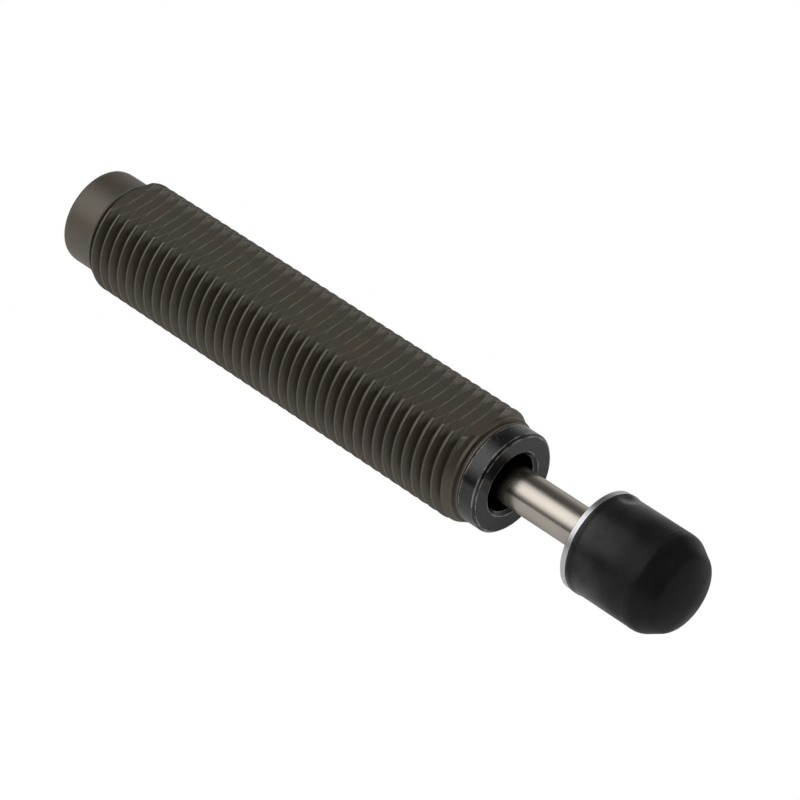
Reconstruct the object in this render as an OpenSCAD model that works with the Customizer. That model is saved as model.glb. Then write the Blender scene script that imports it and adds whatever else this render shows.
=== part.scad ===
// Miniature self-compensating hydraulic shock absorber with a threaded body.
// The axis of the damper is X and the rod points along +X. The origin lies on the axis in the plane
// of the stop face. +Z is the normal of the upper wrench flat. Lengths are in millimetres, and the
// damper is drawn fully extended, with its whole stroke ahead of it.

/* [Body] */
// Major diameter of the thread on the body
thread_d = 14; // [13.6:0.1:15]
// Pitch of the thread on the body
thread_pitch = 1.5; // [1:0.25:2]
// Width across the two wrench flats that run along the thread
across_flats = 12.25; // [12.05:0.05:13]
// Length from the rear face to the stop face
body_len = 67.3; // [66.5:0.1:90]
// Diameter of the plain spigot at the rear
spigot_d = 11.9; // [11.2:0.1:12.8]
// Length of the plain spigot
spigot_len = 4.65; // [3:0.05:8]
// Diameter of the bore that holds the damper
bore_d = 10; // [9.8:0.1:10.4]
// Thickness of the closed rear wall
rear_wall = 5.5; // [5.3:0.1:8]
// Diameter of the nose, in front of the lead-in chamfer
nose_d = 12.6; // [12.3:0.1:13.2]
// Length of the lead-in chamfer behind the nose
nose_chamfer = 1.5; // [0.8:0.1:2.5]
// Length of the broken edge round the rear face
rear_edge = 0.35; // [0.1:0.05:0.8]

/* [Stop collar] */
// Diameter of the collar that stands out of the body
collar_d = 12.2; // [11.6:0.1:12.3]
// Length of the collar that stands out of the body
collar_len = 2.3; // [1.6:0.1:4]
// Diameter of the bore round the rod
collar_bore = 7.1; // [6.9:0.1:7.3]
// Length of the collar's plug inside the body
plug_len = 6.5; // [4:0.5:7]
// Length of the broken edge round the stop face
collar_edge = 0.3; // [0.1:0.05:0.4]
// Size of the chamfer at the mouth of the bore
mouth_chamfer = 0.4; // [0.2:0.1:0.8]

/* [Rod and striker] */
// Diameter of the piston rod
rod_d = 4.8; // [4.6:0.05:4.85]
// Diameter of the rod's two ends, behind the piston's shoulder and inside the button
tail_d = 3; // [2.8:0.1:3.2]
// Travel of the rod
stroke = 12.5; // [10:0.25:13]
// Daylight left between the button and the stop face at the end of the stroke
stop_gap = 0.1; // [0.1:0.1:1]
// Diameter of the button's flange
button_d = 12; // [11:0.1:12.2]
// Thickness of the button's flange
button_t = 0.8; // [0.5:0.1:1.6]
// Diameter of the neck that the cap snaps behind
neck_d = 5.8; // [5:0.1:6.4]
// Diameter of the head that holds the cap
head_d = 7.2; // [6.8:0.1:7.8]
// Length of the neck and the head together
head_len = 5.6; // [5.2:0.1:6]
// Length of the rod's end inside the button
rod_spigot = 5; // [3.5:0.5:5.5]
// Diameter of the cap
cap_d = 11.9; // [11:0.1:12]
// Length of the cap
cap_len = 12.6; // [11.5:0.1:14]
// Length of the straight part of the cap
cap_straight = 8.5; // [7.5:0.1:9]
// Slope of the bevel round the nose of the cap, in degrees
bevel_slope = 30; // [26:1:34]
// Radius between the straight part and the bevel
bevel_round = 2.1; // [1:0.1:2.6]
// Radius between the bevel and the striking dome
nose_round = 1.6; // [0.6:0.1:2]
// Radius of the striking dome
dome_r = 9.1; // [8:0.1:14]
// Diameter of the lip at the rear of the cap
lip_d = 12.1; // [12:0.05:12.2]
// Length of the lip, with its slope down to the cap
lip_len = 0.9; // [0.4:0.1:1.5]

/* [Rolling diaphragm] */
// Thickness of the diaphragm's wall
skin_t = 0.3; // [0.2:0.02:0.34]
// Thickness of the clamped outer bead
bead_t = 0.9; // [0.6:0.1:1.4]
// Length of the crimp that holds the inner bead on the rod
crimp_len = 1.2; // [0.8:0.1:1.6]
// Depth of the groove in the rod under the inner bead
rod_groove = 0.3; // [0.15:0.05:0.4]

/* [Bearing] */
// Length of the guide that carries the rod
guide_len = 7; // [5:0.5:8]
// Outer diameter of the guide bush
bush_d = 5.8; // [5.6:0.1:6]
// Thickness of the seal ring's cord
seal_cord = 0.8; // [0.6:0.05:0.9]

/* [Damper] */
// Bore of the pressure chamber
chamber_d = 7.4; // [7.3:0.05:7.5]
// Outer diameter of the pressure chamber
tube_d = 8.8; // [8.6:0.1:9.2]
// Number of metering orifices along the stroke
orifices = 6; // [4:1:10]
// Diameter of a metering orifice
orifice_d = 0.5; // [0.3:0.05:0.7]
// Length of the piston
piston_len = 3.8; // [3.2:0.1:5]
// Thickness of the check plate
plate_t = 0.4; // [0.3:0.05:0.6]
// Lift of the check plate
plate_lift = 0.4; // [0.2:0.05:0.6]
// Thickness of the base that closes the pressure chamber
base_t = 1.6; // [1.2:0.1:2.4]
// Wire of the return spring
wire_d = 0.5; // [0.4:0.05:0.55]
// Middle diameter of the return spring's coils
coil_d = 5.5; // [5.4:0.05:5.7]

/* [Fill port] */
// Diameter of the plug's thread
fill_d = 4; // [3.6:0.1:4.4]
// Width across the plug's hexagon socket
socket_af = 2; // [1.5:0.1:2.2]
// Diameter of the sealing ball
ball_d = 1.8; // [1.6:0.05:2]
// Depth of the narrow pilot hole in front of the ball
pilot_len = 1.1; // [0.9:0.1:1.4]

/* [Hidden] */
$fn = 96;

// Clearances, all on the radius except end_play
seat_fit = 0.02;        // between pieces that are fixed to each other
running_fit = 0.02;     // round the rod in its bush
piston_fit = 0.03;      // round the piston
end_play = 0.1;         // behind the chamber's base
lift_gap = 0.03;        // under the check plate
soft_gap = 0.05;        // between the diaphragm and what it lies against
coil_gap = 0.3;         // between the coil and what centres it
cut = 1;                // by which a cutter runs past what it cuts

// Radii
thread_r = thread_d / 2;
spigot_r = spigot_d / 2;
nose_r = nose_d / 2;
bore_r = bore_d / 2;
collar_r = collar_d / 2;
collar_bore_r = collar_bore / 2;
rod_r = rod_d / 2;
tail_r = tail_d / 2;
bush_r = bush_d / 2;
chamber_r = chamber_d / 2;
tube_r = tube_d / 2;
fill_r = fill_d / 2;
ball_r = ball_d / 2;
cap_r = cap_d / 2;
lip_r = lip_d / 2;
wire_r = wire_d / 2;
coil_r = coil_d / 2;
coil_core_r = coil_r - wire_r - coil_gap;
plug_r = bore_r - seat_fit;

// Stations of the casing, from the stop face at 0 to the rear face
rear_x = -body_len;
shoulder_x = rear_x + spigot_len;
nose_x = -collar_len;
collar_back_x = nose_x - plug_len;
bore_end_x = rear_x + rear_wall;

// The body's thread: 60 degree grooves with a narrow flat at the root, drawn as rings at the pitch
thread_root_r = thread_r - thread_pitch * sqrt(3) / 2 * 17 / 24;
groove_floor = thread_pitch / 12;
groove_rim_r = thread_r + 0.05;
groove_rim = groove_floor + (groove_rim_r - thread_root_r) * tan(30);
first_groove_x = shoulder_x + thread_pitch * 0.52;
thread_end_x = nose_x - nose_chamfer - thread_pitch * 0.6;
grooves = floor((thread_end_x - first_groove_x) / thread_pitch) + 1;

// Stations of the fill port: the ball seals its tapered end, and the plug presses the ball home
pilot_r = ball_r * 0.55;
pilot_back_x = bore_end_x - pilot_len;
ball_x = pilot_back_x + pilot_r - ball_r * sqrt(2) - seat_fit;
fill_plug_front_x = ball_x - ball_r - seat_fit;
fill_plug_back_x = rear_x + 0.3;
socket_depth = 1.2;

// Stations of the diaphragm: its roll travels half as far as the rod
roll_room = 1.75;
roll_gap = 0.2;
bead_step = 0.15;
skin_out_r = collar_bore_r - soft_gap;
skin_in_r = rod_r + soft_gap;
roll_r = (skin_out_r - skin_in_r) / 2;
roll_x = collar_back_x - roll_gap;
sleeve_back_x = roll_x - stroke / 2 - roll_room;
inner_leg = 2.2;
crimp_front_x = roll_x - inner_leg;
crimp_back_x = crimp_front_x - crimp_len;
inner_bead_r = skin_in_r + skin_t + bead_step;
crimp_r = inner_bead_r + bead_step;

// Stations of the bearing: its pocket takes the crimp at the end of the stroke
crimp_room = 1;
bearing_front_x = sleeve_back_x - bead_t;
pocket_end_x = crimp_back_x - stroke - crimp_room;
bearing_back_x = pocket_end_x - guide_len;
bearing_lip = 0.8;
seal_setback = 3;
seal_groove_x = bearing_front_x - seal_setback;
seal_groove_r = plug_r - seal_cord + 2 * seat_fit;

// Stations of the damper
base_back_x = bore_end_x + end_play;
base_front_x = base_back_x + base_t;
base_plug = 1.2;
coil_end_x = base_front_x + base_plug;
rebound_gap = 0.2;
piston_front_x = bearing_back_x - rebound_gap;
piston_back_x = piston_front_x - piston_len;
piston_r = chamber_r - piston_fit;
ring_depth = 0.37;
ring_floor_r = piston_r - ring_depth;
flow_ring_r = (rod_r + ring_floor_r) / 2;
flow_hole_r = 0.35;
groove_back_x = piston_back_x + piston_len * 0.3;
groove_front_x = piston_back_x + piston_len * 0.6;
seat_front_x = piston_back_x - lift_gap - plate_t - plate_lift - lift_gap;
seat_t = 0.8;
seat_back_x = seat_front_x - seat_t;
seat_pilot_len = 0.4;
nut_len = 1.8;
nut_r = coil_core_r;
nut_back_x = seat_back_x - nut_len;
hub_r = tail_r + 0.4;
rod_end_x = nut_back_x - 0.2;

// Stations of the button and the cap
button_back_x = stroke + stop_gap;
cap_back_x = button_back_x + button_t;
cap_nose_x = cap_back_x + cap_len;
neck_len = 1.4;

// Points of a circular arc in [radius, x] pairs, from angle a0 to a1 measured from the radial direction
function arc(middle_r, middle_x, r, a0, a1, steps = 8) = [
    for (i = [0:steps])
        let (a = a0 + (a1 - a0) * i / steps) [middle_r + r * cos(a), middle_x + r * sin(a)]
];

// A body turned about the X axis from an outline of [radius, x] points
module turned(outline) {
    rotate([0, 90, 0]) rotate_extrude() polygon(outline);
}

// A rod of the given radius along X, from one station to another, at an offset from the axis
module drilled(r, from_x, to_x, at_r = 0, angle = 0) {
    rotate([angle, 0, 0]) translate([from_x, 0, at_r]) rotate([0, 90, 0]) cylinder(r = r, h = to_x - from_x);
}

// Copies its children round the axis
module spaced(count, start = 0) {
    for (i = [0:count - 1]) rotate([start + i * 360 / count, 0, 0]) children();
}

// ---- Casing ----

module fill_port() {
    port_r = fill_r + seat_fit;
    turned([
        [0, bore_end_x + cut], [pilot_r, bore_end_x + cut], [pilot_r, pilot_back_x],
        [port_r, pilot_back_x - (port_r - pilot_r)], [port_r, rear_x - cut],
        [0, rear_x - cut]
    ]);
}

module wrench_flats() {
    for (side = [-1, 1])
        translate([rear_x - cut, -thread_r, side > 0 ? across_flats / 2 : -across_flats / 2 - thread_r])
            cube([body_len + 2 * cut, thread_d, thread_r]);
}

// A comb that cuts all the grooves of the thread at once
module thread_grooves() {
    last_x = first_groove_x + (grooves - 1) * thread_pitch;
    turned(concat(
        [[thread_r + cut, first_groove_x - groove_rim]],
        [
            for (i = [0:grooves - 1], side = [-1, 1], step = [0, 1])
                let (x = first_groove_x + i * thread_pitch, at_floor = (side < 0) == (step == 1))
                at_floor ? [thread_root_r, x + side * groove_floor] : [groove_rim_r, x + side * groove_rim]
        ],
        [[thread_r + cut, last_x + groove_rim]]
    ));
}

module outer_body() {
    color([0.27, 0.25, 0.22]) difference() {
        turned([
            [0, rear_x], [spigot_r - rear_edge / 3, rear_x], [spigot_r, rear_x + rear_edge],
            [spigot_r, shoulder_x], [thread_r, shoulder_x + thread_r - spigot_r],
            [thread_r, nose_x - nose_chamfer], [nose_r, nose_x], [bore_r + 0.2, nose_x],
            [bore_r, nose_x - 0.2], [bore_r, bore_end_x], [0, bore_end_x]
        ]);
        thread_grooves();
        wrench_flats();
        fill_port();
    }
}

module stop_collar() {
    relief = 0.3;
    color([0.12, 0.12, 0.13]) turned([
        [collar_bore_r + mouth_chamfer, 0], [collar_r - collar_edge, 0], [collar_r, -collar_edge],
        [collar_r, nose_x], [plug_r - relief, nose_x], [plug_r - relief, nose_x - 3 * relief],
        [plug_r, nose_x - 4 * relief], [plug_r, collar_back_x + relief], [plug_r - relief, collar_back_x],
        [collar_bore_r, collar_back_x], [collar_bore_r, -mouth_chamfer]
    ]);
}

module seal_ball() {
    color([0.7, 0.7, 0.72]) translate([ball_x, 0, 0]) sphere(r = ball_r);
}

module fill_plug() {
    chamfer = 0.3;
    color([0.15, 0.15, 0.16]) difference() {
        turned([
            [0, fill_plug_front_x], [fill_r - 2 * chamfer, fill_plug_front_x],
            [fill_r, fill_plug_front_x - 2 * chamfer], [fill_r, fill_plug_back_x + chamfer],
            [fill_r - chamfer, fill_plug_back_x], [0, fill_plug_back_x]
        ]);
        translate([fill_plug_back_x - cut, 0, 0])
            rotate([0, 90, 0]) cylinder(d = socket_af / cos(30), h = socket_depth + cut, $fn = 6);
    }
}

// ---- Seal ----

module diaphragm_sleeve() {
    lead = 0.3;
    color([0.6, 0.6, 0.62]) turned([
        [collar_bore_r, sleeve_back_x + lead], [collar_bore_r + lead, sleeve_back_x], [plug_r, sleeve_back_x],
        [plug_r, collar_back_x - lead], [plug_r - lead, collar_back_x], [collar_bore_r, collar_back_x]
    ]);
}

// A top-hat skin folded back into itself: the outer leg lies on the sleeve and the inner leg on the rod
module rolling_diaphragm() {
    middle_r = (skin_out_r + skin_in_r) / 2;
    middle_x = roll_x - roll_r;
    bead_r = plug_r - 0.25;
    outer_fold = arc(middle_r, middle_x, roll_r, 0, 180, 12);
    inner_fold = arc(middle_r, middle_x, roll_r - skin_t, 180, 0, 12);
    color([0.08, 0.08, 0.08]) turned(concat(
        [
            [bead_r, bearing_front_x + soft_gap], [bead_r, sleeve_back_x - soft_gap],
            [skin_out_r + 0.4, sleeve_back_x - soft_gap], [skin_out_r, sleeve_back_x + 0.35]
        ],
        outer_fold,
        [
            [skin_in_r, crimp_front_x], [rod_r - rod_groove + seat_fit, crimp_front_x],
            [rod_r - rod_groove + seat_fit, crimp_back_x + seat_fit], [inner_bead_r, crimp_back_x + seat_fit],
            [inner_bead_r, crimp_front_x], [skin_in_r + skin_t, crimp_front_x]
        ],
        inner_fold,
        [[skin_out_r - skin_t, bearing_front_x + soft_gap]]
    ));
}

// A ring swaged over the inner bead
module diaphragm_crimp() {
    color([0.75, 0.75, 0.76]) turned([
        [inner_bead_r + seat_fit, crimp_back_x], [crimp_r, crimp_back_x], [crimp_r, crimp_front_x - 0.1],
        [crimp_r - 0.1, crimp_front_x], [inner_bead_r + seat_fit, crimp_front_x]
    ]);
}

// ---- Bearing ----

module main_bearing() {
    chamfer = 0.25;
    oil_way_r = 0.4;
    oil_ring_r = bush_r + seat_fit + 0.18 + oil_way_r;
    color([0.55, 0.54, 0.5]) difference() {
        turned([
            [collar_bore_r, bearing_front_x], [plug_r, bearing_front_x],
            [plug_r, seal_groove_x + seal_cord / 2 + 0.2], [seal_groove_r, seal_groove_x + seal_cord / 2 + 0.2],
            [seal_groove_r, seal_groove_x - seal_cord / 2 - 0.2], [plug_r, seal_groove_x - seal_cord / 2 - 0.2],
            [plug_r, bearing_back_x + chamfer], [plug_r - chamfer, bearing_back_x],
            [rod_r + 0.25, bearing_back_x], [rod_r + 0.25, bearing_back_x + bearing_lip],
            [bush_r + seat_fit, bearing_back_x + bearing_lip], [bush_r + seat_fit, pocket_end_x],
            [collar_bore_r, pocket_end_x]
        ]);
        spaced(3) drilled(oil_way_r, bearing_back_x - cut, pocket_end_x + 0.2, oil_ring_r);
    }
}

module bearing_seal() {
    cord_r = seal_cord / 2 - seat_fit;
    color([0.1, 0.1, 0.1]) translate([seal_groove_x, 0, 0]) rotate([0, 90, 0]) rotate_extrude()
        translate([seal_groove_r + seat_fit + cord_r, 0]) circle(r = cord_r, $fn = 32);
}

module guide_bush() {
    chamfer = 0.2;
    inner_r = rod_r + running_fit;
    back_x = bearing_back_x + bearing_lip;
    color([0.72, 0.5, 0.25]) turned([
        [inner_r + chamfer, back_x], [bush_r, back_x], [bush_r, pocket_end_x],
        [inner_r + chamfer, pocket_end_x], [inner_r, pocket_end_x - chamfer], [inner_r, back_x + chamfer]
    ]);
}

// ---- Pressure chamber ----

// Share of the stroke covered when the piston passes an orifice: they crowd towards its end, so that the
// braking force stays level while the load slows down
function orifice_share(i) = 1 - pow(1 - i / orifices, 2);

module metering_orifices() {
    for (i = [1:orifices])
        translate([piston_back_x - stroke * orifice_share(i) - orifice_d, 0, 0])
            rotate([i * 360 / orifices, 0, 0]) translate([0, 0, chamber_r - cut])
                cylinder(d = orifice_d, h = tube_r - chamber_r + 2 * cut, $fn = 24);
}

module pressure_chamber() {
    flange_t = 1.2;
    slot_w = 1.6;
    slot_depth = 0.8;
    lead = 0.25;
    color([0.5, 0.5, 0.52]) difference() {
        turned([
            [chamber_r + lead, base_front_x], [tube_r, base_front_x], [tube_r, bearing_back_x - flange_t],
            [plug_r, bearing_back_x - flange_t], [plug_r, bearing_back_x], [chamber_r, bearing_back_x],
            [chamber_r, base_front_x + lead]
        ]);
        metering_orifices();
        spaced(4, 45) translate([bearing_back_x - slot_depth, -slot_w / 2, chamber_r - cut])
            cube([slot_depth + cut, slot_w, bore_r - chamber_r + 2 * cut]);
    }
}

module chamber_base() {
    boss_len = 2;
    chamfer = 0.3;
    notch_r = 0.7;
    color([0.5, 0.5, 0.52]) difference() {
        turned([
            [0, base_back_x], [plug_r - chamfer, base_back_x], [plug_r, base_back_x + chamfer],
            [plug_r, base_front_x], [chamber_r - seat_fit, base_front_x],
            [chamber_r - seat_fit, coil_end_x - chamfer / 2], [chamber_r - seat_fit - chamfer / 2, coil_end_x],
            [coil_core_r, coil_end_x], [coil_core_r, coil_end_x + boss_len - chamfer],
            [coil_core_r - chamfer, coil_end_x + boss_len], [0, coil_end_x + boss_len]
        ]);
        drilled(0.5, base_back_x - cut, coil_end_x + boss_len + cut);
        spaced(4) drilled(notch_r, base_back_x - cut, base_front_x + cut, plug_r + 0.2);
    }
}

// ---- Return spring ----

// The coil lies between the spring seat and the chamber's base. It has as many turns as leave
// some play between them when the rod is fully in, and no fewer than its closed ends need.
spring_play = 0.15;
fewest_turns = 3;
pressed_len = seat_back_x - stroke - coil_end_x;
turns = max(fewest_turns, floor(pressed_len * (1 - spring_play) / wire_d) - 1);
turn_steps = 18;
wire_sides = 8;
coil_len = seat_back_x - coil_end_x - wire_d - 2 * lift_gap;

// Height of the wire above its start after t turns: the first and last turn are closed
function coil_rise(t) =
    let (closed = wire_d + lift_gap, open = (coil_len - 2 * closed) / (turns - 2))
    t < 1 ? closed * t : t > turns - 1 ? coil_len - closed * (turns - t) : closed + open * (t - 1);

module return_spring() {
    rings = turns * turn_steps;
    points = [
        for (i = [0:rings], k = [0:wire_sides - 1])
            let (
                t = i / turn_steps,
                a = 360 * t,
                b = 360 * k / wire_sides,
                r = coil_r + wire_r * cos(b),
                x = coil_end_x + wire_r + lift_gap + coil_rise(t) + wire_r * sin(b)
            )
            [x, r * cos(a), r * sin(a)]
    ];
    sides = [
        for (i = [0:rings - 1], k = [0:wire_sides - 1])
            let (n = (k + 1) % wire_sides, a = i * wire_sides, b = a + wire_sides)
            [a + k, a + n, b + n, b + k]
    ];
    ends = [
        [for (k = [wire_sides - 1:-1:0]) k],
        [for (k = [0:wire_sides - 1]) rings * wire_sides + k]
    ];
    color([0.78, 0.78, 0.8]) polyhedron(points = points, faces = concat(sides, ends), convexity = 10);
}

// ---- Piston ----

module piston() {
    chamfer = 0.25;
    color([0.66, 0.62, 0.5]) difference() {
        turned([
            [tail_r + seat_fit, piston_back_x], [piston_r - chamfer, piston_back_x],
            [piston_r, piston_back_x + chamfer], [piston_r, groove_back_x], [ring_floor_r, groove_back_x],
            [ring_floor_r, groove_front_x], [piston_r, groove_front_x],
            [piston_r, piston_front_x - chamfer], [piston_r - chamfer, piston_front_x],
            [tail_r + seat_fit, piston_front_x]
        ]);
        spaced(6) drilled(flow_hole_r, piston_back_x - cut, piston_front_x + cut, flow_ring_r);
    }
}

module piston_ring() {
    gap = 0.3;
    back_x = groove_back_x + seat_fit;
    front_x = groove_front_x - seat_fit;
    color([0.2, 0.2, 0.2]) difference() {
        turned([
            [ring_floor_r + seat_fit, back_x], [chamber_r - running_fit / 2, back_x],
            [chamber_r - running_fit / 2, front_x], [ring_floor_r + seat_fit, front_x]
        ]);
        translate([back_x - cut, -gap / 2, 0]) cube([front_x - back_x + 2 * cut, gap, chamber_r + cut]);
    }
}

// A loose plate that shuts the flow holes while the rod moves in and lifts off them as it returns
module check_plate() {
    front_x = piston_back_x - lift_gap;
    color([0.8, 0.8, 0.82]) turned([
        [hub_r + 0.1, front_x - plate_t], [ring_floor_r, front_x - plate_t],
        [ring_floor_r, front_x], [hub_r + 0.1, front_x]
    ]);
}

module spring_seat() {
    rim_r = coil_r + wire_r + 0.25;
    pilot_r = coil_r - wire_r - coil_gap / 3;
    color([0.6, 0.6, 0.62]) turned([
        [tail_r + seat_fit, seat_back_x - seat_pilot_len], [pilot_r, seat_back_x - seat_pilot_len],
        [pilot_r, seat_back_x], [rim_r, seat_back_x], [rim_r, seat_front_x], [hub_r, seat_front_x],
        [hub_r, piston_back_x], [tail_r + seat_fit, piston_back_x]
    ]);
}

module piston_nut() {
    front_x = seat_back_x - seat_pilot_len;
    slot_w = 0.6;
    slot_depth = 0.6;
    chamfer = 0.2;
    color([0.62, 0.62, 0.64]) difference() {
        turned([
            [tail_r + seat_fit, nut_back_x], [nut_r - chamfer, nut_back_x], [nut_r, nut_back_x + chamfer],
            [nut_r, front_x], [tail_r + seat_fit, front_x]
        ]);
        translate([nut_back_x - cut, -slot_w / 2, -nut_r - cut])
            cube([slot_depth + cut, slot_w, 2 * nut_r + 2 * cut]);
    }
}

// ---- Rod and striker ----

module piston_rod() {
    chamfer = 0.2;
    groove_r = rod_r - rod_groove;
    spigot_end_x = button_back_x + rod_spigot;
    color([0.78, 0.75, 0.7]) turned([
        [0, rod_end_x], [tail_r - chamfer, rod_end_x], [tail_r, rod_end_x + chamfer],
        [tail_r, piston_front_x], [rod_r - chamfer, piston_front_x], [rod_r, piston_front_x + chamfer],
        [rod_r, crimp_back_x], [groove_r, crimp_back_x], [groove_r, crimp_front_x + seat_fit],
        [rod_r, crimp_front_x + seat_fit], [rod_r, button_back_x], [tail_r, button_back_x],
        [tail_r, spigot_end_x - chamfer], [tail_r - chamfer, spigot_end_x], [0, spigot_end_x]
    ]);
}

// Outline of the mushroom that the cap snaps over, grown all round by a gap
function mushroom(gap) =
    let (
        neck_r = neck_d / 2 + gap,
        head_r = head_d / 2 + gap,
        slope = (head_d - neck_d) / 2,
        neck_end_x = cap_back_x + neck_len - gap,
        front_x = cap_back_x + head_len + gap,
        crown = 0.8
    )
    concat(
        [[neck_r, cap_back_x], [neck_r, neck_end_x], [head_r, neck_end_x + slope]],
        arc(head_r - crown, front_x - crown, crown, 0, 90, 6)
    );

module rod_button() {
    edge = 0.12;
    spigot_x = button_back_x + rod_spigot + seat_fit;
    color([0.74, 0.74, 0.76]) difference() {
        turned(concat(
            [
                [0, button_back_x], [button_d / 2 - edge, button_back_x], [button_d / 2, button_back_x + edge],
                [button_d / 2, cap_back_x - edge], [button_d / 2 - edge, cap_back_x]
            ],
            mushroom(0),
            [[0, cap_back_x + head_len]]
        ));
        drilled(tail_r + seat_fit, button_back_x - cut, spigot_x);
    }
}

// Outside of the cap: straight, rounded into a bevel, and rounded again into the striking dome
module striker_cap() {
    bevel_x = cap_back_x + cap_straight;
    dome_x = cap_nose_x - dome_r;
    bevel_k = (cap_r - bevel_round) * cos(bevel_slope) + bevel_x * sin(bevel_slope) + bevel_round;
    dome_a = bevel_slope + acos((bevel_k - nose_round - dome_x * sin(bevel_slope)) / (dome_r - nose_round));
    round_r = (dome_r - nose_round) * cos(dome_a);
    round_x = dome_x + (dome_r - nose_round) * sin(dome_a);
    color([0.1, 0.1, 0.1]) difference() {
        turned(concat(
            [
                [0, cap_back_x], [lip_r - 0.1, cap_back_x], [lip_r, cap_back_x + 0.1],
                [lip_r, cap_back_x + lip_len * 0.6], [cap_r, cap_back_x + lip_len]
            ],
            arc(cap_r - bevel_round, bevel_x, bevel_round, 0, bevel_slope, 6),
            arc(round_r, round_x, nose_round, bevel_slope, dome_a, 6),
            arc(0, dome_x, dome_r, dome_a, 90, 10)
        ));
        turned(concat(
            [[0, cap_back_x - cut], [neck_d / 2 + seat_fit, cap_back_x - cut]],
            mushroom(seat_fit),
            [[0, cap_back_x + head_len + seat_fit]]
        ));
    }
}

outer_body();
stop_collar();
diaphragm_sleeve();
rolling_diaphragm();
diaphragm_crimp();
main_bearing();
bearing_seal();
guide_bush();
pressure_chamber();
chamber_base();
return_spring();
spring_seat();
check_plate();
piston();
piston_ring();
piston_nut();
piston_rod();
rod_button();
striker_cap();
seal_ball();
fill_plug();
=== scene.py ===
"""Looks of a miniature hydraulic shock absorber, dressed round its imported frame.

The frame gives the construction: its axis is X, the stop face lies at the origin and the upper
wrench flat faces +Z. This script cuts the real thread into the body, winds the return spring,
draws the rolling diaphragm as two legs, moulds the striker cap, gives every piece its finish, and
sets the light and the camera.
"""

import logging
import math
from collections.abc import Iterable
from dataclasses import dataclass
from enum import Enum

import bmesh
import bpy
from mathutils import Euler, Matrix, Vector


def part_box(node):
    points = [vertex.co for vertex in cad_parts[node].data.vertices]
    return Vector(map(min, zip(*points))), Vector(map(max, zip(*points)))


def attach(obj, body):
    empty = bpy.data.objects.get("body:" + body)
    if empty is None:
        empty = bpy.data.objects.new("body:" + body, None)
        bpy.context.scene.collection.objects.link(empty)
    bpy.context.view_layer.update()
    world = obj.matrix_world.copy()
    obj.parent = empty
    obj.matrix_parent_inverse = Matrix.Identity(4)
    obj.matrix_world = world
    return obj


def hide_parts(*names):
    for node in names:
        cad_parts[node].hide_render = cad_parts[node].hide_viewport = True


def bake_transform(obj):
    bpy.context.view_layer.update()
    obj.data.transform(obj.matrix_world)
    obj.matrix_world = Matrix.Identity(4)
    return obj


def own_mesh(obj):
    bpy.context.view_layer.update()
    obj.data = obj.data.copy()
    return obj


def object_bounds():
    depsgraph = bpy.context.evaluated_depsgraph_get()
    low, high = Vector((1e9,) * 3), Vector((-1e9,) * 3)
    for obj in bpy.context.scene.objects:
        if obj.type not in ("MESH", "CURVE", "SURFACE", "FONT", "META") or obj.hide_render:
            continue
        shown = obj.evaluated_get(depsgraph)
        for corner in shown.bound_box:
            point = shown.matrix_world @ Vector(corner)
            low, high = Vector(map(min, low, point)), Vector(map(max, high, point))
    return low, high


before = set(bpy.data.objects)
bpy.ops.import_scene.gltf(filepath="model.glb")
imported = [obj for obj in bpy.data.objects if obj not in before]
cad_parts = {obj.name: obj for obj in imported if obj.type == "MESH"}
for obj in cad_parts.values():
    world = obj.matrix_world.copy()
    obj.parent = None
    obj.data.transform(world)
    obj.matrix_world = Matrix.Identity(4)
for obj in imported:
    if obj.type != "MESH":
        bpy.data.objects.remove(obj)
CAD_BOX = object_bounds()

# Sizes are in millimetres unless a docstring says metres. The scene itself is in metres.
MM = 0.001
WHITE = (1, 1, 1, 1)
log = logging.getLogger("shock_absorber")

Outline = list[tuple[float, float]]
Piece = bpy.types.Object
Node = bpy.types.Node
Socket = bpy.types.NodeSocket
NodeTree = bpy.types.NodeTree
Material = bpy.types.Material


# ---- Small helpers for meshes ----


def arc(centre: tuple[float, float], radius: float, start: float, end: float, steps: int) -> Outline:
    """Points on an arc in the (station, radius) plane.

    Args:
        centre: Station and radius of the arc's centre.
        radius: Radius of the arc.
        start: Angle of the first point in degrees, where 0 points along +X and 90 away from the axis.
        end: Angle of the last point in degrees.
        steps: Number of stretches between the two.

    Returns:
        The points, from start to end.
    """
    points = []
    for i in range(steps + 1):
        angle = math.radians(start + (end - start) * i / steps)
        points.append((centre[0] + radius * math.cos(angle), centre[1] + radius * math.sin(angle)))
    return points


def add_object(name: str, data: bpy.types.ID) -> Piece:
    """Links a new object with this mesh, light or camera into the scene and returns it."""
    made = bpy.data.objects.new(name, data)
    bpy.context.scene.collection.objects.link(made)
    return made


def ended(build: bmesh.types.BMesh, mesh: bpy.types.Mesh) -> None:
    """Writes a mesh under construction out, with its faces turned outwards."""
    bmesh.ops.recalc_face_normals(build, faces=build.faces)
    build.to_mesh(mesh)
    build.free()


def from_build(name: str, build: bmesh.types.BMesh) -> Piece:
    """Makes a new object of a mesh under construction."""
    mesh = bpy.data.meshes.new(name)
    ended(build, mesh)
    return add_object(name, mesh)


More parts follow.
